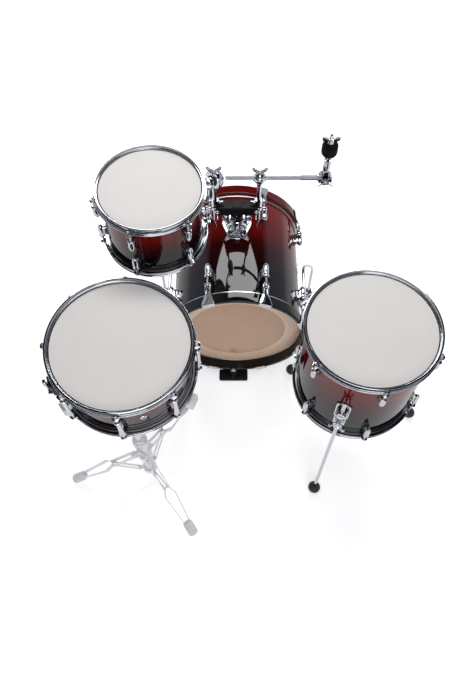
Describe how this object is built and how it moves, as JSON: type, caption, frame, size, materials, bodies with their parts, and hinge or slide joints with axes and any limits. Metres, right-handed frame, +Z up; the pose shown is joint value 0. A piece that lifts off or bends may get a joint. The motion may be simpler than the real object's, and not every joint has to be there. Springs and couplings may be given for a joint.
{
  "type": "drum kit",
  "caption": "Acoustic drum kit: bass drum with tom holder and cymbal boom, rack tom, floor tom on bent legs, and snare drum on a folding basket stand.",
  "frame": {"origin": "on the floor under the riser plate, straight below the axis of the bass drum", "axes": "+Z up, +Y along the bass drum away from the drummer, +X to the drummer's right, towards the floor tom"},
  "size_m": [1.137, 1.0113, 0.8399],
  "materials": {
    "shell_lacquer": "gloss",
    "hoop_lacquer": "gloss",
    "clear_film": "satin",
    "coated_film": "matte",
    "chrome": "polished",
    "black_steel": "satin",
    "felt": "matte",
    "wire": "bright",
    "stand_steel": "satin"
  },
  "bodies": {
    "bass_drum": {"bd_shell": "shell_lacquer", "bd_heads": "clear_film", "bd_hoops": "hoop_lacquer", "bd_claws": "chrome", "bd_tension_rods": "chrome", "bd_lugs": "chrome", "bd_spur_brackets": "chrome", "bd_riser": "black_steel", "tom_holder_base": "chrome"},
    "right_spur": {"spur_right": "chrome"},
    "left_spur": {"spur_left": "chrome"},
    "tom_holder": {"holder_post": "chrome", "holder_crossbar": "black_steel", "holder_strap_bolts": "chrome"},
    "tom_arm": {"tom_arm": "chrome"},
    "rack_tom": {"tom_l_rod": "chrome", "tom_mount": "chrome", "tom_shell": "shell_lacquer", "tom_heads": "coated_film", "tom_hoops": "chrome", "tom_lugs": "chrome", "tom_tension_rods": "chrome"},
    "cymbal_arm": {"cymbal_arm": "chrome"},
    "boom": {"cymbal_boom": "chrome"},
    "cymbal_seat": {"cymbal_tilter": "chrome", "cymbal_post": "chrome", "cymbal_felts": "felt"},
    "cymbal_nut": {"cymbal_wing_nut": "chrome"},
    "floor_tom": {"ft_shell": "shell_lacquer", "ft_heads": "coated_film", "ft_hoops": "chrome", "ft_lugs": "chrome", "ft_tension_rods": "chrome", "ft_leg_brackets": "chrome"},
    "stand_base": {"stand_base_tube": "stand_steel"},
    "stand_collar": {"stand_ring": "stand_steel"},
    "stand_mast": {"stand_mast": "stand_steel"},
    "basket": {"basket_hub": "stand_steel"},
    "snare_drum": {"snare_shell": "shell_lacquer", "snare_heads": "coated_film", "snare_hoops": "chrome", "snare_lugs": "chrome", "snare_tension_rods": "chrome", "snare_throw_off": "chrome", "snare_butt_plate": "chrome"},
    "throw_off_lever": {"snare_lever": "chrome"},
    "wires": {"snare_wires": "wire"},
    "floor_leg_right": {"ft_leg_right": "chrome"},
    "floor_leg_rear": {"ft_leg_rear": "chrome"},
    "floor_leg_front": {"ft_leg_front": "chrome"},
    "tripod_leg_1": {"stand_leg_1": "stand_steel"},
    "tripod_brace_1": {"stand_brace_1": "stand_steel"},
    "basket_arm_1": {"basket_arm_1": "stand_steel"},
    "tripod_leg_2": {"stand_leg_2": "stand_steel"},
    "tripod_brace_2": {"stand_brace_2": "stand_steel"},
    "basket_arm_2": {"basket_arm_2": "stand_steel"},
    "tripod_leg_3": {"stand_leg_3": "stand_steel"},
    "tripod_brace_3": {"stand_brace_3": "stand_steel"},
    "basket_arm_3": {"basket_arm_3": "stand_steel"}
  },
  "joints": [
    {"name": "right_spur_fold", "type": "hinge", "parent": "bass_drum", "child": "right_spur", "pos_m": [0.225, 0.161, 0.2625], "axis": [0, -1, 0], "range_deg": [0, 110]},
    {"name": "left_spur_fold", "type": "hinge", "parent": "bass_drum", "child": "left_spur", "pos_m": [-0.225, 0.161, 0.2625], "axis": [0, 1, 0], "range_deg": [0, 110]},
    {"name": "holder_height", "type": "slide", "parent": "bass_drum", "child": "tom_holder", "axis": [0, 0, 1], "range_m": [0, 0.06]},
    {"name": "tom_arm_turn", "type": "hinge", "parent": "tom_holder", "child": "tom_arm", "pos_m": [-0.0645, 0.292, 0.555], "axis": [0, 0, 1], "range_deg": [-20, 20]},
    {"name": "tom_tilt", "type": "hinge", "parent": "tom_arm", "child": "rack_tom", "pos_m": [-0.0645, 0.292, 0.672], "axis": [1, 0, 0], "range_deg": [-10, 15]},
    {"name": "cymbal_arm_turn", "type": "hinge", "parent": "tom_holder", "child": "cymbal_arm", "pos_m": [0.0645, 0.292, 0.555], "axis": [0, 0, 1], "range_deg": [-30, 60]},
    {"name": "boom_slide", "type": "slide", "parent": "cymbal_arm", "child": "boom", "axis": [1, 0, 0], "range_m": [0, 0.06]},
    {"name": "cymbal_tilt", "type": "hinge", "parent": "boom", "child": "cymbal_seat", "pos_m": [0.248, 0.292, 0.678], "axis": [0, 1, 0], "range_deg": [-25, 25]},
    {"name": "cymbal_nut_turn", "type": "hinge", "parent": "cymbal_seat", "child": "cymbal_nut", "pos_m": [0.248, 0.292, 0.678], "axis": [0, 0, 1], "continuous": true},
    {"name": "floor_tom_place", "type": "slide", "parent": "bass_drum", "child": "floor_tom", "axis": [1, 0, 0], "range_m": [0, 0.15]},
    {"name": "floor_leg_right_slide", "type": "slide", "parent": "floor_tom", "child": "floor_leg_right", "axis": [0, 0, -1], "range_m": [0, 0.07]},
    {"name": "floor_leg_rear_slide", "type": "slide", "parent": "floor_tom", "child": "floor_leg_rear", "axis": [0, 0, -1], "range_m": [0, 0.07]},
    {"name": "floor_leg_front_slide", "type": "slide", "parent": "floor_tom", "child": "floor_leg_front", "axis": [0, 0, -1], "range_m": [0, 0.07]},
    {"name": "stand_place", "type": "slide", "parent": "bass_drum", "child": "stand_base", "axis": [-1, 0, 0], "range_m": [0, 0.15]},
    {"name": "tripod_collar_slide", "type": "slide", "parent": "stand_base", "child": "stand_collar", "axis": [0, 0, 1], "range_m": [0, 0.0722]},
    {"name": "tripod_fold", "type": "hinge", "parent": "stand_collar", "child": "tripod_leg_1", "pos_m": [-0.26539, -0.31468, 0.175], "axis": [-0.9135, 0.4067, 0], "range_deg": [0, 43]},
    {"name": "tripod_brace_turn_1", "type": "hinge", "parent": "stand_base", "child": "tripod_brace_1", "pos_m": [-0.26539, -0.31468, 0.055], "axis": [0.9135, -0.4067, 0], "range_deg": [0, 43]},
    {"name": "tripod_fold_2", "type": "hinge", "parent": "stand_collar", "child": "tripod_leg_2", "pos_m": [-0.30883, -0.34624, 0.175], "axis": [0.1045, -0.9945, 0], "range_deg": [0, 43]},
    {"name": "tripod_brace_turn_2", "type": "hinge", "parent": "stand_base", "child": "tripod_brace_2", "pos_m": [-0.30883, -0.34624, 0.055], "axis": [-0.1045, 0.9945, 0], "range_deg": [0, 43]},
    {"name": "tripod_fold_3", "type": "hinge", "parent": "stand_collar", "child": "tripod_leg_3", "pos_m": [-0.25978, -0.36808, 0.175], "axis": [0.809, 0.5878, 0], "range_deg": [0, 43]},
    {"name": "tripod_brace_turn_3", "type": "hinge", "parent": "stand_base", "child": "tripod_brace_3", "pos_m": [-0.25978, -0.36808, 0.055], "axis": [-0.809, -0.5878, 0], "range_deg": [0, 43]},
    {"name": "stand_height", "type": "slide", "parent": "stand_base", "child": "stand_mast", "axis": [0, 0, 1], "range_m": [0, 0.12]},
    {"name": "basket_tilt", "type": "hinge", "parent": "stand_mast", "child": "basket", "pos_m": [-0.278, -0.343, 0.47], "axis": [1, 0, 0], "range_deg": [-5, 15]},
    {"name": "basket_open", "type": "hinge", "parent": "basket", "child": "basket_arm_1", "pos_m": [-0.28446, -0.2109, 0.49735], "axis": [-0.9887, -0.1491, 0.0137], "range_deg": [0, 10]},
    {"name": "basket_open_2", "type": "hinge", "parent": "basket", "child": "basket_arm_2", "pos_m": [-0.30677, -0.26214, 0.49432], "axis": [0.5662, -0.8212, -0.0713], "range_deg": [0, 10]},
    {"name": "basket_open_3", "type": "hinge", "parent": "basket", "child": "basket_arm_3", "pos_m": [-0.2498, -0.25757, 0.49324], "axis": [0.4304, 0.9011, 0.0525], "range_deg": [0, 10]},
    {"name": "snare_lift", "type": "slide", "parent": "basket", "child": "snare_drum", "axis": [0.0244, -0.0697, 0.9973], "range_m": [0, 0.15]},
    {"name": "throw_off", "type": "hinge", "parent": "snare_drum", "child": "throw_off_lever", "pos_m": [-0.45989, -0.32425, 0.59198], "axis": [0.3745, -0.9243, -0.0738], "range_deg": [0, 100]},
    {"name": "wires_drop", "type": "slide", "parent": "snare_drum", "child": "wires", "axis": [-0.0244, 0.0697, -0.9973], "range_m": [0, 0.00301]}
  ],
  "couplings": [
    {"joint": "tripod_brace_turn_1", "follows": "tripod_fold", "ratio": 1},
    {"joint": "tripod_fold_2", "follows": "tripod_fold", "ratio": 1},
    {"joint": "tripod_brace_turn_2", "follows": "tripod_fold", "ratio": 1},
    {"joint": "tripod_fold_3", "follows": "tripod_fold", "ratio": 1},
    {"joint": "tripod_brace_turn_3", "follows": "tripod_fold", "ratio": 1},
    {"joint": "tripod_collar_slide", "follows": "tripod_fold", "m_per_rad": 0.096081},
    {"joint": "basket_open_2", "follows": "basket_open", "ratio": 1},
    {"joint": "basket_open_3", "follows": "basket_open", "ratio": 1},
    {"joint": "wires_drop", "follows": "throw_off", "m_per_rad": 0.0017189}
  ]
}
